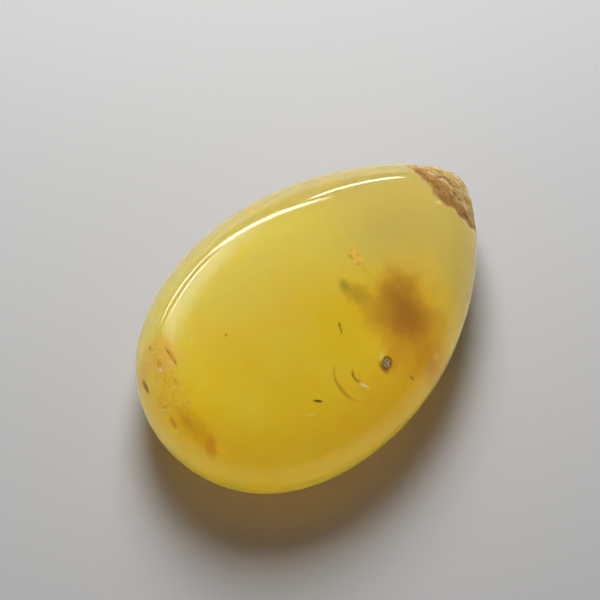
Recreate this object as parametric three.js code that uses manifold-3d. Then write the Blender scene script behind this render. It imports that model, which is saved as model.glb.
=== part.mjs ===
// A polished teardrop of milky yellow amber, lying on its flat underside.
// Millimetres, Z up. X runs along the stone from its blunt end to its tip, and the origin is on
// the underside, below the middle of the stone's length and width.

import * as THREE from 'three';
import { mergeVertices } from 'three/addons/utils/BufferGeometryUtils.js';
import Module from 'manifold-3d';

// Driving dimensions of the polished form
const LENGTH = 32;
const ELLIPSE_WIDTH = 21.45; // of the ellipse that the teardrop outline is drawn from
const NARROWING = [0.174, 0.073, 0.12]; // how the sides draw in towards the tip
const RIM_HEIGHT = 4.4; // of the widest line round the side, above the underside
const SHOULDER_HEIGHT = 8.5; // where the upper rounding runs into the top face
const CROWN = 1; // how far the middle of the top face stands above its shoulder
const TIP_FALL = 0.9; // how much lower than the middle the top is at the tip
const TOP_EDGE = 4.8; // how far in from the outline the upper rounding reaches
const UNDER_EDGE = 5; // the same for the lower rounding, which ends at the flat underside
const ROUNDNESS = 2.15; // exponent of both roundings: 2 is an ellipse, more is squarer

// The unpolished skin across the tip, with furrows that run round it
const SKIN_START = 12.75; // where it begins along X
const SKIN_EDGE = [
  { height: 0.14, perY: 1.9, perZ: 0.7, phase: 0.6 },
  { height: 0.08, perY: 4.3, perZ: 2.1, phase: 2 },
];
const SKIN_BLEND = 0.4; // over which the polish gives way to it
const SKIN_DEPTH = 0.04; // how far the skin lies below the polished form
const FURROW_START = 12.98; // of the first furrow, just inside the edge of the skin
const FURROW_PITCH = 1.3;
const FURROW_DEPTH = 0.1;
const FURROW_BENDS = [
  { height: 0.24, perY: 1.3, perZ: 0.9, phase: 0.4 },
  { height: 0.12, perY: 3.1, perZ: 1.7, phase: 1.1 },
];
const TIP_WEAR = 0.6; // the last of the length, where the skin is worn smooth

// Small hollows in the top, each from one end to the other as seen from above
const HOLLOWS = {
  grainPit: { from: [-0.3, -7.25], to: [-1.15, -7.9], width: 0.74, depth: 0.36 },
  chip: { from: [-4.95, -6.95], to: [-1.7, -6.7], width: 2.6, depth: 0.16 },
  chipHeart: { from: [-3.6, -6.85], to: [-2.5, -7.15], width: 0.9, depth: 0.27 },
  groove: { from: [-11.43, 5.25], to: [-11.98, 3.36], width: 0.46, depth: 0.2 },
  upperPocket: { from: [-12.45, 5.1], to: [-12.9, 4.2], width: 0.6, depth: 0.22 },
  middlePocket: { from: [-12.6, 3.05], to: [-13.15, 2.5], width: 0.45, depth: 0.2 },
  sideNick: { from: [-14, 5.2], to: [-14.4, 4.25], width: 0.36, depth: 0.2 },
  ledge: { from: [-14.85, 2.55], to: [-14.35, 1.75], width: 0.5, depth: 0.2 },
  loop: { from: [-14.9, 1.6], to: [-15.08, 0.4], width: 0.62, depth: 0.2 },
  lowerPocket: { from: [-13.45, 1.15], to: [-13.3, 0.5], width: 0.42, depth: 0.16 },
};
const HOLLOW_STEEPNESS = 1.5; // half-height of a hollow's ellipsoid over its depth: 1 is upright

// Fineness of the mesh
const SEGMENTS = 112; // round the outline
const TIP_FINENESS = 0.3; // how much closer together they are at the tip
const EDGE_ROWS = 12; // on each rounding
const TOP_ROWS = 6; // from the shoulder to the middle of the top
const HOLLOW_SEGMENTS = 16;
const SMALL_STEP = 1e-3; // in either surface parameter, for tangents
const HALVINGS = 40; // when a surface parameter is searched for
const SAME_POINT = 1e-5;

const wasm = await Module();
wasm.setup();

const amber = new THREE.MeshStandardMaterial({
  name: 'milky_amber',
  color: new THREE.Color(0.62, 0.41, 0.06),
  roughness: 0.12,
  metalness: 0,
});

// The teardrop: an ellipse whose width is drawn in by a cubic in the cosine of the angle.
function outlinePoint(angle) {
  const c = Math.cos(angle);
  const width = 1 - NARROWING[0] * c - NARROWING[1] * c ** 2 - NARROWING[2] * c ** 3;
  return new THREE.Vector2((LENGTH / 2) * c, (ELLIPSE_WIDTH / 2) * Math.sin(angle) * width);
}

// How far the outline's tangent at an angle is from the middle of the outline.
function reach(angle) {
  const tangent = outlinePoint(angle + SMALL_STEP).sub(outlinePoint(angle - SMALL_STEP));
  return Math.abs(outlinePoint(angle).cross(tangent.normalize()));
}

// Height of the top face over a point, before the edge is rounded off.
function topHeight(x, y) {
  const along = x / (LENGTH / 2);
  const across = y / (ELLIPSE_WIDTH / 2);
  return SHOULDER_HEIGHT + CROWN * (1 - along ** 2 - across ** 2) - TIP_FALL * along;
}

// The polished form. Section is -2 in the middle of the underside, -1 where its flat ends, 0 on
// the rim, 1 on the shoulder and 2 in the middle of the top.
function polishedPoint(angle, section) {
  const edge = section < 0 ? UNDER_EDGE : TOP_EDGE;
  const turn = (Math.min(Math.abs(section), 1) * Math.PI) / 2;
  const inset = edge * (1 - Math.cos(turn) ** (2 / ROUNDNESS));
  const rise = Math.sin(turn) ** (2 / ROUNDNESS);
  const inwards = Math.max(Math.abs(section) - 1, 0);
  const { x, y } = outlinePoint(angle).multiplyScalar((1 - inset / reach(angle)) * (1 - inwards));
  const end = section < 0 ? 0 : topHeight(x, y);
  return new THREE.Vector3(x, y, RIM_HEIGHT + (end - RIM_HEIGHT) * rise);
}

function outwardNormal(angle, section) {
  const round = polishedPoint(angle + SMALL_STEP, section)
    .sub(polishedPoint(angle - SMALL_STEP, section));
  const up = polishedPoint(angle, section + SMALL_STEP)
    .sub(polishedPoint(angle, section - SMALL_STEP));
  return round.cross(up).normalize();
}

function sumOfWaves(waves, y, z) {
  return waves.reduce((sum, w) => sum + w.height * Math.sin(w.perY * y + w.perZ * z + w.phase), 0);
}

// How far the rough skin at the tip lies below the polished form.
function skinRelief({ x, y, z }) {
  const start = SKIN_START + sumOfWaves(SKIN_EDGE, y, z);
  const skin = THREE.MathUtils.smoothstep(x, start - SKIN_BLEND / 2, start + SKIN_BLEND / 2);
  const worn = THREE.MathUtils.smoothstep(LENGTH / 2 - x, 0, TIP_WEAR);
  const place = (x - FURROW_START - sumOfWaves(FURROW_BENDS, y, z)) / FURROW_PITCH;
  const furrow = (1 + Math.cos(2 * Math.PI * place)) / 2;
  return skin * worn * (SKIN_DEPTH + FURROW_DEPTH * furrow ** 2);
}

function surfacePoint(angle, section) {
  const point = polishedPoint(angle, section);
  const relief = section > -1 ? skinRelief(point) : 0;
  return relief > 0 ? point.addScaledVector(outwardNormal(angle, section), -relief) : point;
}

// Rows of points from the edge of the flat underside over the rim to the middle of the top, with
// a pole to close each face.
function stoneGeometry() {
  const rows = [];
  for (let i = -EDGE_ROWS; i <= EDGE_ROWS; i += 1) {
    rows.push(i / EDGE_ROWS);
  }
  for (let i = 1; i < TOP_ROWS; i += 1) {
    rows.push(1 + i / TOP_ROWS);
  }
  const points = [polishedPoint(0, -2)];
  for (const section of rows) {
    for (let i = 0; i < SEGMENTS; i += 1) {
      const turn = (2 * Math.PI * i) / SEGMENTS;
      points.push(surfacePoint(turn - TIP_FINENESS * Math.sin(turn), section));
    }
  }
  points.push(polishedPoint(0, 2));
  const under = 0;
  const top = points.length - 1;
  const at = (row, i) => 1 + row * SEGMENTS + (i % SEGMENTS);
  const triangles = [];
  for (let i = 0; i < SEGMENTS; i += 1) {
    triangles.push(under, at(0, i + 1), at(0, i));
    for (let row = 0; row < rows.length - 1; row += 1) {
      triangles.push(at(row, i), at(row, i + 1), at(row + 1, i + 1));
      triangles.push(at(row, i), at(row + 1, i + 1), at(row + 1, i));
    }
    triangles.push(at(rows.length - 1, i), at(rows.length - 1, i + 1), top);
  }
  const coordinates = points.flatMap((point) => point.toArray());
  const geometry = new THREE.BufferGeometry();
  geometry.setAttribute('position', new THREE.Float32BufferAttribute(coordinates, 3));
  geometry.setIndex(triangles);
  return geometry;
}

// The angle and section of the polished top under a point seen from above: the angle is turned
// until the outline lies in the point's direction, and the section is halved in on.
function surfaceUnder([x, y]) {
  const direction = Math.atan2(y, x);
  let angle = direction;
  for (let i = 0; i < HALVINGS; i += 1) {
    angle += direction - outlinePoint(angle).angle();
    angle = Math.atan2(Math.sin(angle), Math.cos(angle));
  }
  let rim = 0;
  let middle = 2;
  for (let i = 0; i < HALVINGS; i += 1) {
    const section = (rim + middle) / 2;
    const point = polishedPoint(angle, section);
    if (Math.hypot(point.x, point.y) > Math.hypot(x, y)) {
      rim = section;
    } else {
      middle = section;
    }
  }
  return [angle, rim];
}

// What is taken out for a hollow: an ellipsoid that lies along the surface and is sunk in by the
// hollow's depth. It is widened so that its cut, below its middle, has the hollow's own size.
function hollowGeometry({ from, to, width, depth }) {
  const middle = surfaceUnder([(from[0] + to[0]) / 2, (from[1] + to[1]) / 2]);
  const normal = outwardNormal(...middle);
  const span = polishedPoint(...surfaceUnder(to)).sub(polishedPoint(...surfaceUnder(from)));
  const along = span.clone().projectOnPlane(normal).normalize();
  const across = new THREE.Vector3().crossVectors(normal, along);
  const widening = 1 / Math.sqrt(1 - (1 - 1 / HOLLOW_STEEPNESS) ** 2);
  const halfSizes = new THREE.Vector3(span.length() / 2, width / 2, 0).multiplyScalar(widening);
  const halfHeight = depth * HOLLOW_STEEPNESS;
  const ball = new THREE.SphereGeometry(1, HOLLOW_SEGMENTS, HOLLOW_SEGMENTS / 2);
  ball.rotateX(Math.PI / 2);
  ball.scale(halfSizes.x, halfSizes.y, halfHeight);
  ball.applyMatrix4(new THREE.Matrix4().makeBasis(along, across, normal));
  const centre = polishedPoint(...middle).addScaledVector(normal, halfHeight - depth);
  ball.translate(centre.x, centre.y, centre.z);
  return ball;
}

function toSolid(geometry) {
  const bare = geometry.clone();
  bare.deleteAttribute('normal');
  bare.deleteAttribute('uv');
  const merged = mergeVertices(bare, SAME_POINT);
  return new wasm.Manifold(new wasm.Mesh({
    numProp: 3,
    vertProperties: new Float32Array(merged.attributes.position.array),
    triVerts: new Uint32Array(merged.index.array),
  }));
}

function toGeometry(solid) {
  const mesh = solid.getMesh();
  const geometry = new THREE.BufferGeometry();
  geometry.setAttribute('position', new THREE.BufferAttribute(mesh.vertProperties, 3));
  geometry.setIndex(new THREE.BufferAttribute(mesh.triVerts, 1));
  geometry.computeVertexNormals();
  return geometry;
}

function amberStone() {
  const solid = Object.values(HOLLOWS).reduce(
    (left, hollow) => left.subtract(toSolid(hollowGeometry(hollow))),
    toSolid(stoneGeometry()),
  );
  const mesh = new THREE.Mesh(toGeometry(solid), amber);
  mesh.name = 'amber_stone';
  return mesh;
}

const stone = new THREE.Group();
stone.add(amberStone());

export default stone;
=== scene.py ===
# A polished teardrop of milky yellow amber, lying on a plain pale floor.
import math

import bpy
import numpy as np
from mathutils import Matrix, Vector


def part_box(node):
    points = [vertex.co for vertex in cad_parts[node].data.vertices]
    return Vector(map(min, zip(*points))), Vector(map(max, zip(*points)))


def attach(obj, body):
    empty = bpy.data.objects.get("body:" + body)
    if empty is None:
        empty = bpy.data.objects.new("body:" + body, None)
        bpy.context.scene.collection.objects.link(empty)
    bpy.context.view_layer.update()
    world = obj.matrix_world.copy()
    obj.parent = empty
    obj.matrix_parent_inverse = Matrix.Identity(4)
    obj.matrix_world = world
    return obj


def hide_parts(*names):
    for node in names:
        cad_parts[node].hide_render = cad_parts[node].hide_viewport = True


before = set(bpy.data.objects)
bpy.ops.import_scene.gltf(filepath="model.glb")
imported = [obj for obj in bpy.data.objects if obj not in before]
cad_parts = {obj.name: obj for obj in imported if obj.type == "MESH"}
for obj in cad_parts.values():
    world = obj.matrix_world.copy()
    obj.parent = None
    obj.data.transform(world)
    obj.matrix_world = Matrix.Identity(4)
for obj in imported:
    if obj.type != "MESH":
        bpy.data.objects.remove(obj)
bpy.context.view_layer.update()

stoneLow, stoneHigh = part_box("amber_stone")
millimetre = 0.001
markHeight = 1e4
print("frame loaded, nodes:", sorted(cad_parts))


# Node helpers

class Wire:
    # An output of a node: each operator adds the Math node that works the sum out.
    def __init__(self, tree, socket):
        self.tree = tree
        self.socket = socket

    def join(self, operation, *values):
        made = self.tree.nodes.new("ShaderNodeMath")
        made.operation = operation
        for socket, value in zip(made.inputs, values):
            plug(socket, value)
        return Wire(self.tree, made.outputs[0])

    def __add__(self, other):
        return self.join("ADD", self, other)

    def __sub__(self, other):
        return self.join("SUBTRACT", self, other)

    def __rsub__(self, other):
        return self.join("SUBTRACT", other, self)

    def __mul__(self, other):
        return self.join("MULTIPLY", self, other)

    def higher(self, other):
        return self.join("MAXIMUM", self, other)

    def size(self):
        return self.join("ABSOLUTE", self)

    __radd__ = __add__
    __rmul__ = __mul__


def plug(socket, value):
    if isinstance(value, Wire):
        value.tree.links.new(value.socket, socket)
    else:
        socket.default_value = value


class Nodes:
    # A node tree: one method for any node, and a few for what is used again and again.
    def __init__(self, owner):
        owner.use_nodes = True
        self.tree = owner.node_tree
        self.tree.nodes.clear()

    def node(self, kind, settings, inputs, output=0):
        made = self.tree.nodes.new(kind)
        for key, value in settings.items():
            setattr(made, key, value)
        for key, value in inputs.items():
            plug(made.inputs[key], value)
        return Wire(self.tree, made.outputs[output] if made.outputs else None)

    def attribute(self, name):
        return self.node("ShaderNodeAttribute", {"attribute_name": name}, {}, "Fac")

    def parts(self, vector):
        split = self.node("ShaderNodeSeparateXYZ", {}, {0: vector})
        return [Wire(self.tree, socket) for socket in split.socket.node.outputs]

    def scaled(self, vector, factors):
        return self.node("ShaderNodeVectorMath", {"operation": "MULTIPLY"}, {0: vector, 1: factors})

    def noise(self, place, pitch, detail=2.0, roughness=0.5):
        # Soft noise from 0 to 1 whose largest blots are about one pitch across.
        inputs = {"Vector": place, "Scale": 1 / pitch, "Detail": detail, "Roughness": roughness}
        return self.node("ShaderNodeTexNoise", {}, inputs, "Fac")

    def rise(self, value, low, high):
        # A smooth step: none at low, one at high.
        inputs = {"Value": value, "From Min": low, "From Max": high}
        return self.node("ShaderNodeMapRange", {"interpolation_type": "SMOOTHSTEP"}, inputs)

    def blend(self, factor, first, second):
        return self.node("ShaderNodeMix", {"data_type": "RGBA"}, {0: factor, 6: first, 7: second}, 2)

    def mark(self, place, start, end, width, softness, stray):
        # An ellipse from start to end, seen from above: half strong at its edge, and the softness is
        # the share of its size over which it fades either way. It is so tall that height hardly counts.
        (x0, y0), (x1, y1) = start, end
        inputs = {"Vector": place, "Location": ((x0 + x1) / 2, (y0 + y1) / 2, 0),
                  "Rotation": (0, 0, math.atan2(y1 - y0, x1 - x0)),
                  "Scale": (math.hypot(x1 - x0, y1 - y0) / 2, width / 2, markHeight)}
        local = self.node("ShaderNodeMapping", {"vector_type": "TEXTURE"}, inputs)
        distance = self.node("ShaderNodeVectorMath", {"operation": "LENGTH"}, {0: local}, "Value")
        return self.rise(distance + stray, 1 + softness, 1 - softness)


# The view and the light

view = {
    "azimuth": -46.2,  # degrees
    "elevation": 67.0,
    "distance": 180.0,  # mm, as every length in this script
    "lens": 139.2,
    "sensor": 36.0,
    "clipStart": 0.01,  # metres
    "aimHeight": 4.4,  # the stone's rim
    "aimRight": -1.565,  # the stone stands right of and below the middle of the view
    "aimUp": 1.10,
}
azimuth = math.radians(view["azimuth"])
elevation = math.radians(view["elevation"])
viewRight = Vector((math.cos(azimuth), math.sin(azimuth), 0))
viewAhead = Vector((-math.sin(azimuth), math.cos(azimuth), 0))  # level, away from the camera
viewBack = -viewAhead * math.cos(elevation) + Vector((0, 0, math.sin(elevation)))
viewUp = viewBack.cross(viewRight)


def addCamera():
    camera = bpy.data.objects.new("camera", bpy.data.cameras.new("camera"))
    camera.data.lens = view["lens"]
    camera.data.sensor_width = view["sensor"]
    camera.data.clip_start = view["clipStart"]
    aim = Vector((0, 0, view["aimHeight"])) + viewRight * view["aimRight"] + viewUp * view["aimUp"]
    place = (aim + viewBack * view["distance"]) * millimetre
    turn = Matrix((viewRight, viewUp, viewBack)).transposed()
    camera.matrix_world = Matrix.Translation(place) @ turn.to_4x4()
    bpy.context.scene.collection.objects.link(camera)
    bpy.context.scene.camera = camera


# Each light is a flat panel that faces the stone. Its ends are directions from the stone: degrees
# left or right of straight ahead, and degrees up. The width lies across them, and the radiance is
# the panel's own brightness, which fades over a share of it at its ends and towards its upper edge.
# The daylight and the fills light the milky body and show in no reflection; the panes do only that.
# The three near ones reach the stone alone: they stand for light that comes back up from around it.
lights = {
    "daylight": {"ends": ((-34, 48), (26, 48)), "distance": 160, "width": 112,
                 "radiance": 17.5, "endFade": 0.3, "upperFade": 0.3, "shiny": False},
    "fillRight": {"ends": ((85, 8), (135, 8)), "distance": 250, "width": 70,
                  "radiance": 4.6, "endFade": 0.3, "upperFade": 0.5, "shiny": False},
    "fillFront": {"ends": ((140, 8), (200, 8)), "distance": 250, "width": 70,
                  "radiance": 0.5, "endFade": 0.3, "upperFade": 0.5, "shiny": False},
    "fillLeft": {"ends": ((215, 8), (265, 8)), "distance": 250, "width": 70,
                 "radiance": 3.2, "endFade": 0.3, "upperFade": 0.5, "shiny": False},
    "nearRight": {"ends": ((70, 15), (125, 15)), "distance": 250, "width": 110, "stoneOnly": True,
                  "radiance": 2.4, "endFade": 0.3, "upperFade": 0.3, "shiny": False},
    "nearSide": {"ends": ((140, 26), (205, 26)), "distance": 250, "width": 130, "stoneOnly": True,
                 "radiance": 4.0, "endFade": 0.3, "upperFade": 0.3, "shiny": False},
    "nearLeft": {"ends": ((215, 12), (265, 12)), "distance": 250, "width": 110, "stoneOnly": True,
                 "radiance": 3.4, "endFade": 0.3, "upperFade": 0.3, "shiny": False},
    "softPane": {"ends": ((-76, 24), (-4, 34)), "distance": 290, "width": 210,
                 "radiance": 2.7, "endFade": 0.35, "upperFade": 0.7, "shiny": True},
    "arcMain": {"ends": ((-34, 6), (0, 34)), "distance": 300, "width": 23,
                "radiance": 12.5, "endFade": 0.25, "upperFade": 0.2, "shiny": True},
    "arcFar": {"ends": ((-61, 3), (-24, 9)), "distance": 300, "width": 8,
               "radiance": 18.0, "endFade": 0.4, "upperFade": 0.1, "shiny": True},
    "arcInner": {"ends": ((-57, 15), (-25, 18)), "distance": 300, "width": 8,
                 "radiance": 12.0, "endFade": 0.4, "upperFade": 0.1, "shiny": True},
    "arcTip": {"ends": ((-10, 22), (7, 9)), "distance": 300, "width": 20,
               "radiance": 12.0, "endFade": 0.15, "upperFade": 0.1, "shiny": True},
}
panelColour = (1.0, 0.985, 0.96)
world = {"colour": (0.97, 0.98, 1.0, 1), "strength": 0.08}
onlyStone = bpy.data.collections.new("onlyStone")  # what a light meant for the stone alone reaches


def addLight(name, ends, distance, width, radiance, endFade, upperFade, shiny, stoneOnly=False):
    first, last = (
        (viewRight * math.sin(math.radians(aside)) + viewAhead * math.cos(math.radians(aside)))
        * math.cos(math.radians(up)) + Vector((0, 0, math.sin(math.radians(up))))
        for aside, up in ends)
    middle = (first + last).normalized() * distance
    away = middle.normalized()
    along = (last - first).normalized()
    panel = bpy.data.lights.new(name, "AREA")
    panel.shape = "RECTANGLE"
    panel.size = (last - first).length * distance * millimetre
    panel.size_y = width * millimetre
    panel.energy = radiance * math.pi * panel.size * panel.size_y
    panel.color = panelColour
    nodes = Nodes(panel)
    face = nodes.node("ShaderNodeNewGeometry", {}, {}, "Parametric")
    share, down = nodes.parts(face)[:2]
    fade = nodes.rise(share, 0, endFade) * nodes.rise(share, 1, 1 - endFade)
    shine = nodes.node("ShaderNodeEmission", {}, {"Strength": fade * nodes.rise(down, 0, upperFade)})
    nodes.node("ShaderNodeOutputLight", {}, {"Surface": shine})
    light = bpy.data.objects.new(name, panel)
    light.matrix_world = (Matrix.Translation(middle * millimetre)
                          @ Matrix((along, away.cross(along), away)).transposed().to_4x4())
    light.visible_glossy = shiny
    light.visible_diffuse = light.visible_transmission = not shiny
    if stoneOnly:
        light.light_linking.receiver_collection = onlyStone
    bpy.context.scene.collection.objects.link(light)


def addWorld():
    sky = bpy.data.worlds.new("softRoom")
    nodes = Nodes(sky)
    glow = nodes.node("ShaderNodeBackground", {}, {
        "Color": world["colour"], "Strength": world["strength"]})
    nodes.node("ShaderNodeOutputWorld", {}, {"Surface": glow})
    bpy.context.scene.world = sky
    bpy.context.scene.view_settings.view_transform = "Standard"


addCamera()
for name, settings in lights.items():
    addLight(name, **settings)
addWorld()
print("camera and lights placed")


# The stone's form

form = {
    "narrowing": (0.174, 0.073, 0.12),  # how the sides draw in towards the tip
    "rimHeight": 4.4,  # of the widest line round the side
    "shoulderHeight": 8.5,  # where the upper rounding runs into the top face
    "crown": 1.0,  # how far the middle of the top stands above its shoulder
    "tipFall": 0.9,  # how much lower than the middle the top is at the tip
    "topEdge": 4.8,  # how far in from the outline each rounding reaches
    "underEdge": 5.0,
    "roundness": 2.15,  # exponent of both roundings
    "polishWaves": 0.008,  # height of the slight unevenness that hand polishing leaves
    "polishNoise": (3.6, 9),  # its pitch and seed
    "reliefSpan": (-1, -0.6),  # sections over which relief comes in above the flat underside
    # Faces that turn towards the light on the far side get painted shade, darker and greyer, to even
    # out their light.
    "farTurn": (0.0, 0.75),  # how squarely a face looks away from the camera on the far side
}
skin = {
    "start": 12.40,  # where the rough skin at the tip begins along X
    "foremost": -1.4,  # the Y at which it does
    "lean": (0.095, 0.05),  # how much later on the -Y and +Y side of it, per square of the distance
    "edge": ((0.14, 1.9, 0.7, 0.6), (0.08, 4.3, 2.1, 2.0)),  # height, per Y, per Z and phase
    "fray": ((0.14, 0.5, 4), (0.06, 0.2, 8)),  # noises in its edge: height, pitch and seed of each
    "blend": 0.4,  # length over which the polish gives way to it
    "depth": 0.04,
    "furrowStart": 12.98,
    "furrowPitch": 1.3,
    "furrowDepth": 0.1,
    "furrowBends": ((0.24, 1.3, 0.9, 0.4), (0.12, 3.1, 1.7, 1.1)),
    "wear": 0.6,  # the last of the length, worn smooth
    "grainHeight": 0.07,
    "grain": ((0.6, (0.24, 0.8, 0.8), 5), (0.4, 0.2, 6)),  # noises in it: share, pitch and seed
    "crackDepth": 0.06,
    "cracks": ((0.45, 1.6, 1.6), 7),  # pitch and seed of the noise that draws them
    "crackWidth": (0.90, 0.985),  # how near its middle that noise is where they start and are whole
    "crackGaps": (0.8, 10),  # pitch and seed of the noise that breaks them up
    "crackShare": (-0.5, 0.1),  # values of it where they start and are whole
    "crackStart": (0.3, 1.6),  # how far from the tip's end they come in
}
hollows = {
    "grainPit": ((-0.28, -7.23), (-1.20, -7.93), 0.82, 0.36),  # both ends, width and depth
    "groove": ((-11.43, 5.25), (-11.98, 3.36), 0.30, 0.14),
    "upperPocket": ((-12.45, 5.10), (-12.90, 4.20), 0.40, 0.14),
    "middlePocket": ((-12.60, 3.05), (-13.15, 2.50), 0.34, 0.14),
    "sideNick": ((-14.00, 5.20), (-14.40, 4.25), 0.30, 0.16),
    "ledge": ((-14.85, 2.55), (-14.35, 1.75), 0.34, 0.12),
    "loop": ((-14.90, 1.60), (-15.08, 0.40), 0.40, 0.12),
    "lowerPocket": ((-13.45, 1.15), (-13.30, 0.50), 0.30, 0.12),
}
hollowSteepness = 1.5  # half-height of a hollow's ellipsoid over its depth
hollowBends = {
    "noises": ((0.45, 0.5), (0.30, 0.9)),  # share of a hollow's size by which it strays, and pitch
    "seeds": (20, 21),  # along it and across it
    "inPit": 0.25,  # how much of this the grain's round pit has
}
mineral = {  # the grain stuck in its pit
    "size": 0.31,
    "height": 0.30,
    "slimness": 0.8,  # width over length
    "outline": ((0.12, 0.25, 30),),  # noise in its outline: share, pitch and seed
    "lumps": ((0.3, 0.18, 31),),  # and in its height
    "edge": (1.0, 0.85),  # share of its size at which its colour starts and is whole
}
chip = {
    "middle": (-2.71, -6.90),
    "steps": ((2.17, 0.07, 0.13), (0.80, 0.13, 0.22)),  # radius, drop and width of each curved step
    "side": 168.0,  # direction in which the steps are sharp; they run out on the other side
    "runOut": (0.55, 0.95),  # cosine of the angle off that side where a step starts and is whole
    "bowl": -0.2,  # where the fall towards each step starts, from the middle
    "wobble": ((0.04, 0.7, 12),),  # noise in each radius: height, pitch and seed
    # Each step carries a line of painted shade in its crease.
    "lineStart": (-0.06, 0.02),  # how far inside a step its line starts and is whole
    "lineEnd": 0.04,  # how far past the drop it ends
    "darkDrop": 0.11,  # drop from which a step's line is fully dark
}
crust = {
    "patches": (  # the mottled natural surface left on the blunt end: both ends and width
        ((-10.9, 6.0), (-13.0, 4.5), 2.5),
        ((-13.0, 4.4), (-14.4, 1.2), 2.0),
        ((-14.3, 1.4), (-14.4, -1.8), 1.5),
    ),
    "outline": ((0.35, 0.9, 14), (0.2, 0.35, 15)),  # noises in it: share, pitch and seed
    "fade": (1.25, 0.75),  # share of a patch's size at which it starts and is whole
    "height": 0.035,
    "bumps": ((0.5, 0.32, 16), (0.3, 0.16, 17)),
}
mesh = {
    "round": 540,  # points round the outline
    "rows": (6, 34, 100, 40),  # on the flat underside, each rounding and the top
    "close": ((0, 40, 1.3), (-104, 22, 3.4), (160, 32, 2.0)),  # angle, reach and extra closeness
    "closeSteps": 4001,  # in which the closeness is added up round the outline
    "shoulderRow": 0.35,  # width of the top's outermost row over that of an even one
}
smallStep = 1e-3  # in either surface parameter, for tangents
latticeSize = 32

length = (stoneHigh.x - stoneLow.x) / millimetre


def narrowed(angle):
    # Height of the outline at an angle over half the ellipse's width: the sine, drawn in by a cubic.
    c = np.cos(angle)
    first, second, third = form["narrowing"]
    return np.sin(angle) * (1 - first * c - second * c**2 - third * c**3)


widest = narrowed(np.linspace(0, np.pi, 2000)).max()
ellipseWidth = (stoneHigh.y - stoneLow.y) / millimetre / widest


def outlinePoint(angle):
    # The teardrop: half the length times the cosine, and half the width times the drawn-in sine.
    return np.stack([length / 2 * np.cos(angle), ellipseWidth / 2 * narrowed(angle)], -1)


def reach(angle):
    # How far the outline's tangent at an angle is from the middle.
    tangent = outlinePoint(angle + smallStep) - outlinePoint(angle - smallStep)
    tangent /= np.linalg.norm(tangent, axis=-1, keepdims=True)
    point = outlinePoint(angle)
    return np.abs(point[..., 0] * tangent[..., 1] - point[..., 1] * tangent[..., 0])


def topHeight(x, y):
    # A shallow dome that also falls evenly towards the tip.
    along, across = x / (length / 2), y / (ellipseWidth / 2)
    return form["shoulderHeight"] + form["crown"] * (1 - along**2 - across**2) - form["tipFall"] * along


def polishedPoint(angle, section):
    # The outline, moved in and up along a superellipse from the rim (0) to the shoulder (1) and
    # straight in to the middle of the top (2), and likewise below to -1 and -2.
    edge = np.where(section < 0, form["underEdge"], form["topEdge"])
    turn = np.minimum(np.abs(section), 1) * np.pi / 2
    inset = edge * (1 - np.maximum(np.cos(turn), 0) ** (2 / form["roundness"]))
    climb = np.sin(turn) ** (2 / form["roundness"])
    inwards = np.maximum(np.abs(section) - 1, 0)
    point = outlinePoint(angle) * ((1 - inset / reach(angle)) * (1 - inwards))[..., None]
    end = np.where(section < 0, 0, topHeight(point[..., 0], point[..., 1]))
    z = form["rimHeight"] + (end - form["rimHeight"]) * climb
    return np.concatenate([point, z[..., None]], -1)


def outwardNormal(angle, section):
    around = polishedPoint(angle + smallStep, section) - polishedPoint(angle - smallStep, section)
    upwards = polishedPoint(angle, section + smallStep) - polishedPoint(angle, section - smallStep)
    normal = np.cross(around, upwards)
    return normal / np.linalg.norm(normal, axis=-1, keepdims=True)


def smooth(value, low, high):
    share = np.clip((value - low) / (high - low), 0, 1)
    return share * share * (3 - 2 * share)


def sumOfWaves(waves, y, z):
    return sum(height * np.sin(perY * y + perZ * z + phase) for height, perY, perZ, phase in waves)


def softNoise(points, pitch, seed):
    # Random values on a lattice, blended smoothly between its corners: from -1 to 1.
    lattice = np.random.default_rng(seed).uniform(-1, 1, (latticeSize,) * 3)
    cell = np.floor(points / pitch).astype(int)
    share = points / pitch - cell
    share = share * share * (3 - 2 * share)
    total = np.zeros(points.shape[:-1])
    for corner in np.ndindex(2, 2, 2):
        weight = np.prod(np.where(corner, share, 1 - share), -1)
        index = np.moveaxis((cell + corner) % latticeSize, -1, 0)
        total += weight * lattice[tuple(index)]
    return total


def noiseLayers(points, layers):
    # The sum of some noises, each with its own height, pitch and seed.
    return sum(height * softNoise(points, pitch, seed) for height, pitch, seed in layers)


def ellipseDistance(points, start, end, width):
    # Distance from the middle of an ellipse seen from above, over its own half sizes.
    (x0, y0), (x1, y1) = start, end
    span = math.hypot(x1 - x0, y1 - y0)
    x, y = points[..., 0] - (x0 + x1) / 2, points[..., 1] - (y0 + y1) / 2
    u = (x * (x1 - x0) + y * (y1 - y0)) / span
    v = (y * (x1 - x0) - x * (y1 - y0)) / span
    return np.hypot(u / (span / 2), v / (width / 2))


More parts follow.
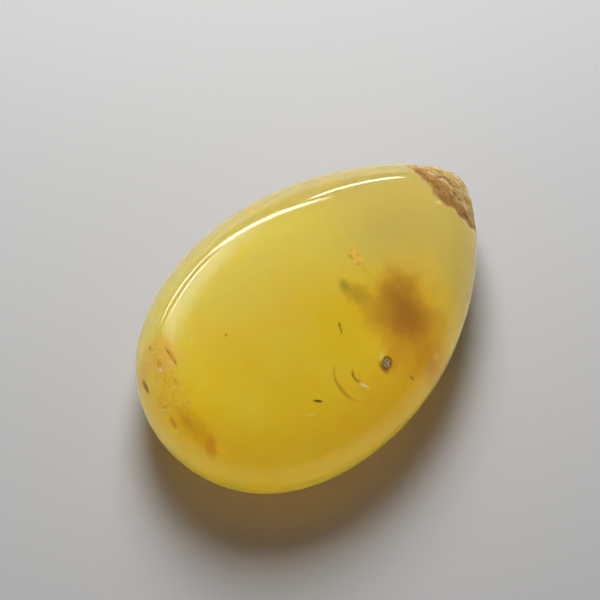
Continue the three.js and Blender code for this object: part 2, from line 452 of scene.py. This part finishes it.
def skinRelief(points):
    # Rows of furrows across the tip, sunk a little below the polish, with the skin's own grain and
    # cracks: a crack is where a stretched noise passes through nought.
    x, y, z = np.moveaxis(points, -1, 0)
    aside = y - skin["foremost"]
    lean = np.where(aside < 0, *skin["lean"]) * aside**2
    start = skin["start"] + lean + sumOfWaves(skin["edge"], y, z) + noiseLayers(points, skin["fray"])
    covered = smooth(x, start - skin["blend"] / 2, start + skin["blend"] / 2)
    worn = smooth(length / 2 - x, 0, skin["wear"])
    place = (x - skin["furrowStart"] - sumOfWaves(skin["furrowBends"], y, z)) / skin["furrowPitch"]
    furrow = ((1 + np.cos(2 * np.pi * place)) / 2) ** 2
    grain = noiseLayers(points, skin["grain"])
    ridge = 1 - np.abs(softNoise(points, *skin["cracks"]))
    broken = smooth(softNoise(points, *skin["crackGaps"]), *skin["crackShare"])
    begun = smooth(length / 2 - x, *skin["crackStart"])
    crack = smooth(ridge, *skin["crackWidth"]) * covered * begun * broken
    depth = skin["depth"] + skin["furrowDepth"] * furrow + skin["grainHeight"] * (1 + grain) / 2
    return covered * worn * depth + worn * crack * skin["crackDepth"], covered, furrow, crack


def nearest(points, top, x, y):
    # The grid point of the top that lies nearest to a place seen from above.
    offset = (points[..., 0] - x) ** 2 + (points[..., 1] - y) ** 2 + np.where(top, 0, 1e3)
    return np.unravel_index(offset.argmin(), offset.shape)


def hollowRelief(points, normals, top):
    # An ellipsoid lies along the surface with its lowest point sunk in by the hollow's depth, and
    # the surface drops to it wherever it is lower. Noise makes its edge stray.
    relief = np.zeros(points.shape[:-1])
    reliefs = {}
    bends = np.stack([
        noiseLayers(points, [(share, pitch, seed) for share, pitch in hollowBends["noises"]])
        for seed in hollowBends["seeds"]])
    widening = 1 / math.sqrt(1 - (1 - 1 / hollowSteepness) ** 2)
    for name, (start, end, width, depth) in hollows.items():
        first, last = nearest(points, top, *start), nearest(points, top, *end)
        middle = nearest(points, top, (start[0] + end[0]) / 2, (start[1] + end[1]) / 2)
        normal = normals[middle]
        span = points[last] - points[first]
        along = span - normal * (span @ normal)
        along /= np.linalg.norm(along)
        offset = points - points[middle]
        stray = bends * (hollowBends["inPit"] if name == "grainPit" else 1)
        u = offset @ along / (np.linalg.norm(span) / 2 * widening) + stray[0]
        v = offset @ np.cross(normal, along) / (width / 2 * widening) + stray[1]
        dome = np.sqrt(np.maximum(1 - u**2 - v**2, 0))
        bed = depth * (hollowSteepness - 1) - depth * hollowSteepness * dome
        sunk = np.where((u**2 + v**2 < 1) & top, np.maximum(offset @ normal - bed, 0), 0)
        reliefs[name] = sunk / depth
        if name == "grainPit":
            distance = np.hypot(offset @ along * mineral["slimness"], offset @ np.cross(normal, along))
            distance = distance / mineral["size"] + noiseLayers(points, mineral["outline"])
            lump = np.sqrt(np.maximum(1 - distance**2, 0)) * mineral["height"]
            sunk = np.maximum(sunk - lump * (1 + noiseLayers(points, mineral["lumps"])), 0)
            reliefs["mineral"] = np.where(reliefs[name] > 0, smooth(distance, *mineral["edge"]), 0)
        relief = np.maximum(relief, sunk)
    return relief, reliefs


def chipRelief(points, top):
    # A shell-shaped break: curved steps round one middle, sharp on one side and run out to
    # nothing on the other.
    x, y = points[..., 0] - chip["middle"][0], points[..., 1] - chip["middle"][1]
    distance = np.hypot(x, y)
    turn = np.arctan2(y, x) - math.radians(chip["side"])
    sharp = smooth(np.cos(turn), *chip["runOut"]) * top
    wobble = noiseLayers(points, chip["wobble"])
    lineEnd = chip["lineEnd"]
    relief = np.zeros(distance.shape)
    edge = np.zeros(distance.shape)
    for radius, drop, width in chip["steps"]:
        within = radius + wobble - distance
        relief += drop * smooth(within, 0, width) * smooth(distance, chip["bowl"], radius) * sharp
        # A line of painted shade along the step's crease, darkest where the step drops most.
        line = smooth(within, *chip["lineStart"]) * smooth(within, width + lineEnd, lineEnd) * sharp
        edge = np.maximum(edge, line * min(1, drop / chip["darkDrop"]))
    return relief, edge


def buildStone():
    # The grid runs round the outline, closer where the small relief is, and from the middle of the
    # underside to the middle of the top. Relief moves each point in along the surface's normal.
    even = np.linspace(-np.pi, np.pi, mesh["closeSteps"])
    closeness = 1 + sum(
        extra * np.exp(-(((np.degrees(even) - at + 180) % 360 - 180) / wide) ** 4)
        for at, wide, extra in mesh["close"])
    travelled = np.concatenate([[0], np.cumsum((closeness[1:] + closeness[:-1]) / 2)])
    turns = np.interp(np.arange(mesh["round"]) / mesh["round"] * travelled[-1], travelled, even)
    under, lower, upper, top = mesh["rows"]
    share, first = np.arange(top) / top, mesh["shoulderRow"]
    rows = np.concatenate([
        -2 + np.arange(1, under) / under,
        -1 + np.arange(lower) / lower,
        np.arange(upper) / upper,
        1 + first * share + (1 - first) * share**2,
    ])
    section, angle = np.meshgrid(rows, turns, indexing="ij")
    points = polishedPoint(angle, section)
    normals = outwardNormal(angle, section)
    onTop = section > 0
    above = smooth(section, *form["reliefSpan"])
    skinDepth, covered, furrow, crack = skinRelief(points)
    hollowDepth, reliefs = hollowRelief(points, normals, onTop)
    chipDepth, chipStepShade = chipRelief(points, onTop)
    patches = np.min([ellipseDistance(points, *patch) for patch in crust["patches"]], axis=0)
    mottled = smooth(patches + noiseLayers(points, crust["outline"]), *crust["fade"]) * onTop
    bumps = 0.5 + noiseLayers(points, crust["bumps"])
    crustDepth = crust["height"] * np.maximum(bumps, 0) * mottled
    waves = form["polishWaves"] * (1 + softNoise(points, *form["polishNoise"])) * (1 - covered)
    depth = above * (skinDepth + waves) + hollowDepth + chipDepth + crustDepth
    points = points - normals * depth[..., None]

    count = mesh["round"]
    poles = np.array([[0, 0, 0], polishedPoint(np.array(0.0), np.array(2.0))])
    everything = np.concatenate([points.reshape(-1, 3), poles]) * millimetre
    index = np.arange(len(rows) * count).reshape(len(rows), count)
    beside = np.roll(index, -1, axis=1)
    quads = np.stack([index[:-1], beside[:-1], beside[1:], index[1:]], -1).reshape(-1, 4)
    underPole, topPole = index.size, index.size + 1
    underFan = np.stack([beside[0], index[0], np.full(count, underPole)], -1)
    topFan = np.stack([index[-1], beside[-1], np.full(count, topPole)], -1)
    shape = bpy.data.meshes.new("amberStone")
    shape.from_pydata(everything, [], quads.tolist() + underFan.tolist() + topFan.tolist())
    shape.polygons.foreach_set("use_smooth", np.ones(len(shape.polygons), bool))
    pockets = [relief for name, relief in reliefs.items() if name not in ("grainPit", "mineral")]
    masks = {
        "skin": covered * above,
        "furrow": furrow * covered * above,
        "crack": crack * above,
        "mineral": reliefs["mineral"],
        "pit": reliefs["grainPit"],
        "chipStepShade": chipStepShade,
        "crust": mottled,
        # Painted shade on the far flank, which faces the light.
        "farFlankPaintedShade": smooth(normals @ np.array(viewAhead), *form["farTurn"]) * above,
        "pocket": np.max(pockets, axis=0),
    }
    for name, values in masks.items():
        layer = shape.attributes.new(name, "FLOAT", "POINT")
        layer.data.foreach_set("value", np.append(values.ravel(), [0, 0]).astype(np.float32))
    shape.update()
    stone = bpy.data.objects.new("amberStone", shape)
    bpy.context.scene.collection.objects.link(stone)
    onlyStone.objects.link(stone)
    print("stone built:", len(shape.vertices), "points,", 2 * len(quads) + 2 * count, "triangles")
    return stone


# The amber

amber = {
    "tint": (1.0, 0.96, 0.45, 1),  # of light that passes through
    "absorption": 180.0,  # per metre
    "milk": 0.0150,  # metres that light strays under the surface
    "milkRadius": (1.0, 0.6, 0.12),
    "clearness": 0.52,  # share of light that goes through instead
    "polish": 0.035,  # roughness of the gloss
    "blur": 1.0,  # roughness below it
    "index": 1.54,
    "returned": 0.58,  # share of the light on the top that its colour gives back
    "sheen": 0.015,  # what the gloss adds to every colour
    "darkest": 0.002,  # limits of its colour
    "brightest": 0.98,
    "dullSkin": 0.85,  # how much of the gloss the rough skin, a pocket and the crust take away
    "dullPocket": 0.6,
    "dullCrust": 0.4,
    "bumpStrength": 0.5,
    "bumpHeight": 6e-5,  # metres
    "bumpCrust": 0.5,  # how bumpy the crust is, where the skin is 1
}
# Noises in the stone: pitch, detail and roughness of each.
noises = {
    "drift": (6.5, 3.0, 0.55),
    "wisps": (1.9, 5.0, 0.62),
    "grainy": (0.7, 4.0, 0.6),
    "fine": (0.17, 3.0, 0.6),
    "veins": (1.2, 2.5, 0.5),
    "streaks": (0.6, 4.0, 0.65),
}
streakStretch = (2.2, 0.7, 0.7)
# Layers of colour, each as it shows on the lit top, from 0 to 255, and how strongly it covers.
shades = {
    "deep": ((198, 163, 34), 1.0),
    "bright": ((204, 170, 46), 1.0),
    # Painted sheen: the half towards the light is paler and greyer, as if it reflected the light.
    "litHalfPaintedSheen": ((180, 169, 76), 1.0),
    "wisps": ((198, 163, 34), 0.25),
    "haze": ((162, 149, 82), 0.85),
    # Painted shade: darkens the flank that faces the light.
    "farRimPaintedShade": ((142, 131, 80), 0.8),
    "vein": ((150, 112, 28), 0.55),
    "tan": ((140, 117, 72), 1.0),
    "pale": ((158, 139, 104), 1.0),
    "inner": ((112, 80, 34), 0.65),
    "furrow": ((112, 80, 34), 0.5),
    "thread": ((60, 38, 10), 0.8),
    "crack": ((60, 38, 10), 0.75),
    "pocket": ((158, 124, 34), 0.5),
    "pitWall": ((92, 64, 18), 0.85),
    "darkGrain": ((84, 74, 46), 1.0),
    "paleGrain": ((160, 151, 120), 1.0),
    # Painted shade in the creases of the chip's steps.
    "chipStepShade": ((112, 78, 8), 0.85),
}
# Values between which something starts to show and is whole.
spans = {
    "marks": (3.2, 5.2),  # heights
    "bright": (0.34, 0.66),
    "far": (-4.5, 5.0),  # mm away from the camera
    "wisps": (0.46, 0.72),
    "haze": (1.5, 9.0),  # mm towards the tip
    "vein": (0.03, 0.0),  # distance from the noise's middle value
    "patchy": (0.4, 0.6),
    "speckle": (0.48, 0.62),
    "specklePatches": (0.42, 0.58),
    "pale": (0.35, 0.65),
    "inner": (14.3, 13.0),  # mm towards the tip
    "thread": (0.045, 0.0),
    "threadPatches": (0.42, 0.56),
    "pocket": (0.1, 0.8),
    "pit": (0.0, 0.25),
    "paleGrain": (0.35, 0.6),
}
strays = {"far": 5.0, "haze": 7.0, "inner": 3.0}  # mm by which noise moves these
farAside = 0.5  # how far left of straight away the paler half lies
hazeAcross = 0.1  # how far the haze leans across the stone
speckleShare = 0.8  # of the veins' strength
wideMark = 1.5  # width above which wisps make a mark's edge stray, and the finer grain below it
# Marks seen through the polish, together with painted light and shade on it: the glints, the lit lip of
# the pit, and the shade along the near side and in the chip. Each has both ends, width, softness,
# colour, strength and straying.
marks = {
    # Painted shade: a deeper colour along the near side, away from the light.
    "nearSidePaintedShade": ((2.0, -9.6), (-6.0, -9.2), 4.4, 0.95, (186, 150, 26), 0.60, 0.8),
    "cloudBody": ((4.6, -3.5), (1.2, -9.6), 4.6, 0.75, (158, 116, 18), 0.85, 1.4),
    "cloudLeft": ((3.9, -4.1), (1.2, -5.9), 2.7, 0.80, (158, 118, 18), 0.70, 1.2),
    "cloudCore": ((4.35, -3.6), (2.15, -7.7), 2.6, 0.80, (128, 88, 2), 0.78, 1.2),
    "cloudTail": ((2.9, -8.4), (1.9, -10.6), 2.8, 0.80, (160, 120, 22), 0.60, 1.2),
    "smudgeHead": ((1.60, -0.65), (1.36, -1.55), 0.60, 0.90, (116, 106, 40), 0.65, 1.0),
    "smudgeBody": ((1.50, -1.30), (1.72, -3.30), 1.20, 0.95, (138, 118, 34), 0.70, 1.6),
    "smudgeTail": ((1.60, -2.40), (2.20, -5.00), 1.80, 0.95, (168, 134, 28), 0.60, 1.2),
    "fissure": ((4.36, 0.75), (3.42, -0.85), 0.92, 0.60, (196, 158, 62), 0.80, 2.4),
    "fissureLeft": ((3.56, 0.50), (3.52, -0.04), 0.26, 0.70, (160, 122, 6), 0.80, 1.0),
    "fissureLow": ((3.33, -0.47), (3.67, -0.70), 0.20, 0.70, (160, 122, 6), 0.80, 0.8),
    "fissureMiddle": ((4.03, 0.12), (4.06, -0.31), 0.18, 0.70, (176, 130, 24), 0.75, 0.8),
    "fissureTop": ((3.96, 0.76), (4.05, 0.54), 0.15, 0.70, (172, 134, 14), 0.70, 0.6),
    "fissureLine": ((3.60, -0.50), (3.36, -2.35), 0.42, 1.00, (178, 154, 8), 0.60, 1.6),
    "fleckHead": ((-1.08, -2.92), (-1.30, -3.20), 0.18, 0.40, (112, 84, 6), 0.90, 0.0),
    "fleckTail": ((-1.20, -3.10), (-1.56, -3.68), 0.10, 0.40, (104, 78, 6), 0.90, 0.0),
    "speckLeft": ((-7.84, 2.45), (-7.60, 2.45), 0.20, 0.60, (140, 104, 14), 0.90, 0.0),
    "speckRight": ((0.00, -9.30), (0.16, -9.60), 0.22, 0.60, (130, 92, 14), 0.85, 0.0),
    "dash": ((-6.92, -5.83), (-6.46, -6.34), 0.20, 0.50, (88, 64, 4), 1.00, 0.2),
    # A painted glint.
    "paintedGlintStreak": ((-8.19, -6.08), (-7.53, -6.69), 0.11, 0.70, (240, 220, 120), 0.60, 0.0),
    "paleRim": ((2.60, -9.50), (3.00, -9.36), 0.34, 0.90, (206, 172, 72), 0.40, 0.0),
    "paleTip": ((11.87, -1.08), (12.13, -1.30), 0.26, 0.70, (240, 214, 150), 0.80, 0.0),
    # A painted glint.
    "paintedGlintLeft": ((-9.95, 4.00), (-9.60, 4.20), 0.26, 0.80, (226, 200, 108), 0.50, 0.0),
    "orangeRim": ((0.90, 9.45), (2.70, 9.05), 0.26, 0.80, (232, 150, 48), 0.80, 0.3),
    "chipShade": ((-4.62, -6.00), (-4.80, -7.40), 0.24, 0.90, (150, 110, 16), 0.45, 0.4),
    "chipGlint": ((-3.42, -7.34), (-3.14, -7.94), 0.17, 0.60, (250, 232, 206), 1.00, 0.8),
    "pitHalo": ((-0.20, -7.50), (-1.10, -7.95), 1.10, 0.60, (160, 122, 26), 0.60, 0.8),
    "pitShade": ((-1.16, -7.22), (-1.24, -8.16), 0.50, 0.60, (108, 74, 6), 0.85, 0.6),
    # A painted highlight on the lit upper lip of the pit.
    "pitLipPaintedHighlight": ((-0.40, -6.84), (-1.00, -7.08), 0.30, 0.70, (228, 198, 84), 0.85, 0.3),
    "crustHead": ((-10.9, 6.0), (-13.0, 4.5), 2.8, 0.60, (184, 148, 66), 0.80, 1.8),
    "crustEdge": ((-12.9, 6.3), (-14.2, 4.9), 0.9, 0.60, (182, 140, 48), 0.60, 0.8),
    "crustFoot": ((-13.0, 4.2), (-14.4, 1.0), 1.9, 0.70, (188, 158, 58), 0.60, 1.4),
    "crustTrail": ((-14.2, 1.0), (-14.4, -1.9), 1.1, 0.80, (172, 142, 32), 0.70, 1.8),
    "orangeHaze": ((-14.30, -0.90), (-14.55, -2.70), 1.00, 0.90, (180, 146, 28), 0.60, 1.4),
    "orangeSpot": ((-14.00, -1.95), (-14.72, -2.95), 0.74, 0.70, (174, 132, 6), 0.95, 1.6),
    "pinkPatch": ((-11.55, 5.15), (-12.25, 3.75), 1.00, 0.60, (190, 152, 78), 0.70, 2.4),
    "pinkSpot": ((-12.35, 4.75), (-12.95, 4.05), 0.70, 0.60, (182, 144, 66), 0.70, 2.4),
    "grooveLine": ((-11.40, 5.20), (-11.72, 4.25), 0.13, 0.70, (120, 82, 14), 0.85, 1.0),
    "grooveEnd": ((-11.66, 4.00), (-11.96, 3.55), 0.16, 0.70, (126, 86, 16), 0.80, 1.0),
    "pocketLine": ((-12.40, 5.20), (-12.90, 4.35), 0.10, 0.60, (146, 102, 34), 0.70, 0.8),
    "sideFleck": ((-13.95, 5.25), (-14.38, 4.20), 0.22, 0.60, (84, 56, 6), 0.95, 1.0),
    "headSpeck": ((-11.80, 6.50), (-12.10, 6.30), 0.26, 0.60, (146, 108, 34), 0.80, 0.6),
    "glintHigh": ((-12.83, 4.38), (-12.97, 4.12), 0.18, 0.60, (250, 226, 150), 1.00, 0.2),
    "glintMiddle": ((-12.55, 3.10), (-12.95, 2.70), 0.10, 0.60, (248, 224, 120), 0.90, 0.8),
    "glintLow": ((-13.42, 1.12), (-13.33, 0.51), 0.14, 0.60, (246, 222, 120), 0.90, 1.2),
    "glintLedge": ((-14.80, 2.30), (-14.45, 1.70), 0.12, 0.60, (246, 220, 130), 0.90, 0.6),
    "loopLine": ((-14.75, 1.50), (-14.98, 0.40), 0.11, 0.60, (146, 106, 22), 0.80, 0.8),
    "loopShade": ((-14.20, 1.10), (-14.40, -0.60), 0.34, 0.80, (160, 124, 24), 0.60, 1.6),
}
fissureSpecks = {"at": ((4.13, 0.33), (3.92, 0.24), (3.89, -0.33), (4.00, -0.46), (3.54, -0.30)),
                 "size": 0.24, "softness": 0.6, "stray": 1.2, "colour": (224, 182, 92)}


def shown(red, green, blue):
    # The linear base colour that shows as this display colour, from 0 to 255, on the lit top. A
    # colour too bright for that keeps its hue.
    shares = np.array([red, green, blue]) / 255
    linear = np.where(shares > 0.04045, ((shares + 0.055) / 1.055) ** 2.4, shares / 12.92)
    base = np.maximum((linear - amber["sheen"]) / amber["returned"], amber["darkest"])
    base = base * min(1, amber["brightest"] / base.max())
    return (*base.tolist(), 1.0)


def amberFinish():
    material = bpy.data.materials.new("milkyAmber")
    nodes = Nodes(material)
    inMetres = nodes.node("ShaderNodeTexCoord", {}, {}, "Object")
    place = nodes.scaled(inMetres, (1 / millimetre,) * 3)
    x, y, z = nodes.parts(place)

    def span(value, name):
        return nodes.rise(value, *spans[name])

    def cover(below, mask, name):
        # A layer over the colour below it, or over another shade, where the mask is.
        shade, strength = shades[name]
        if isinstance(below, str):
            below = shown(*shades[below][0])
        return nodes.blend(mask * strength, below, shown(*shade))

    # The milky body: slow drifts of depth, a painted sheen that makes the half towards the light paler
    # and greyer, and a greyer haze towards the tip.
    drift, wisps, grainy, fine, veins = (
        nodes.noise(place, *noises[name]) for name in ("drift", "wisps", "grainy", "fine", "veins"))
    far = viewAhead - viewRight * farAside
    away = x * far.x + y * far.y + (drift - 0.5) * strays["far"]
    along = x + y * hazeAcross + (drift - 0.5) * strays["haze"]
    colour = cover("deep", span(drift, "bright"), "bright")
    # Painted sheen on the half towards the light.
    colour = cover(colour, span(away, "far"), "litHalfPaintedSheen")
    colour = cover(colour, span(wisps, "wisps"), "wisps")
    colour = cover(colour, span(along, "haze"), "haze")
    # Painted shade on the flank facing the light, evening out its brightness.
    colour = cover(colour, nodes.attribute("farFlankPaintedShade"), "farRimPaintedShade")

    above = span(z, "marks")
    for start, end, width, softness, shade, strength, stray in marks.values():
        unevenness = wisps if width > wideMark else grainy
        mask = nodes.mark(place, start, end, width, softness, (unevenness - 0.5) * stray)
        colour = nodes.blend(mask * above * strength, colour, shown(*shade))
    half = fissureSpecks["size"] / 2
    for atX, atY in fissureSpecks["at"]:
        mask = nodes.mark(place, (atX - half, atY), (atX + half, atY), half * 2,
                          fissureSpecks["softness"], (fine - 0.5) * fissureSpecks["stray"])
        colour = nodes.blend(mask * above, colour, shown(*fissureSpecks["colour"]))

    # The crust's brown veins, where noise passes through its middle value, and its speckle.
    mottled = nodes.attribute("crust")
    vein = span((veins - 0.5).size(), "vein") * span(grainy, "patchy")
    speckle = span(fine, "speckle") * span(grainy, "specklePatches")
    colour = cover(colour, vein.higher(speckle * speckleShare) * mottled, "vein")

    # Tan rind on the tip: browner in its furrows and near its edge, dark in its cracks.
    covered = nodes.attribute("skin")
    streaks = nodes.noise(nodes.scaled(place, streakStretch), *noises["streaks"])
    thread = span((streaks - 0.5).size(), "thread") * span(grainy, "threadPatches")
    rind = cover("tan", span(streaks, "pale"), "pale")
    rind = cover(rind, span(x + (streaks - 0.5) * strays["inner"], "inner"), "inner")
    rind = cover(rind, nodes.attribute("furrow") * span(grainy, "patchy"), "furrow")
    rind = cover(rind, thread, "thread")
    colour = nodes.blend(covered, colour, rind)
    colour = cover(colour, nodes.attribute("crack"), "crack")

    # Pits: brown-walled, with the grey grain in the deepest.
    pocket = nodes.attribute("pocket")
    colour = cover(colour, span(pocket, "pocket"), "pocket")
    colour = cover(colour, span(nodes.attribute("pit"), "pit"), "pitWall")
    grain = cover("darkGrain", span(fine, "paleGrain"), "paleGrain")
    colour = nodes.blend(nodes.attribute("mineral"), colour, grain)
    # Painted shade along the chip's steps.
    colour = cover(colour, nodes.attribute("chipStepShade"), "chipStepShade")

    dull = covered.higher(pocket * amber["dullPocket"]).higher(mottled * amber["dullCrust"])
    bump = nodes.node("ShaderNodeBump", {}, {
        "Height": fine * covered.higher(mottled * amber["bumpCrust"]),
        "Strength": amber["bumpStrength"], "Distance": amber["bumpHeight"]})
    surface = nodes.node("ShaderNodeBsdfPrincipled", {}, {
        "Base Color": colour,
        "Roughness": amber["blur"],
        "IOR": amber["index"],
        "Specular IOR Level": 0.0,
        "Normal": bump,
        "Subsurface Weight": 1.0,
        "Subsurface Radius": amber["milkRadius"],
        "Subsurface Scale": amber["milk"],
        "Transmission Weight": amber["clearness"],
        "Coat Weight": 1.0 - dull * amber["dullSkin"],
        "Coat Roughness": amber["polish"],
        "Coat IOR": amber["index"],
    })
    inside = nodes.node("ShaderNodeVolumeAbsorption", {}, {
        "Color": amber["tint"], "Density": amber["absorption"]})
    nodes.node("ShaderNodeOutputMaterial", {}, {"Surface": surface, "Volume": inside})
    return material


# The floor

floor = {"half": 1500, "colour": (0.44, 0.443, 0.452, 1), "roughness": 0.9}


def addFloor():
    half = floor["half"] * millimetre
    corners = [(-half, -half, 0), (half, -half, 0), (half, half, 0), (-half, half, 0)]
    shape = bpy.data.meshes.new("floor")
    shape.from_pydata(corners, [], [(0, 1, 2, 3)])
    plane = bpy.data.objects.new("floor", shape)
    bpy.context.scene.collection.objects.link(plane)
    material = bpy.data.materials.new("paleFloor")
    nodes = Nodes(material)
    surface = nodes.node("ShaderNodeBsdfPrincipled", {}, {
        "Base Color": floor["colour"], "Roughness": floor["roughness"], "Specular IOR Level": 0.2})
    nodes.node("ShaderNodeOutputMaterial", {}, {"Surface": surface})
    shape.materials.append(material)


addFloor()
print("floor laid")
stone = buildStone()
stone.data.materials.append(amberFinish())
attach(stone, "root")
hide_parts("amber_stone")
print("amber finished")
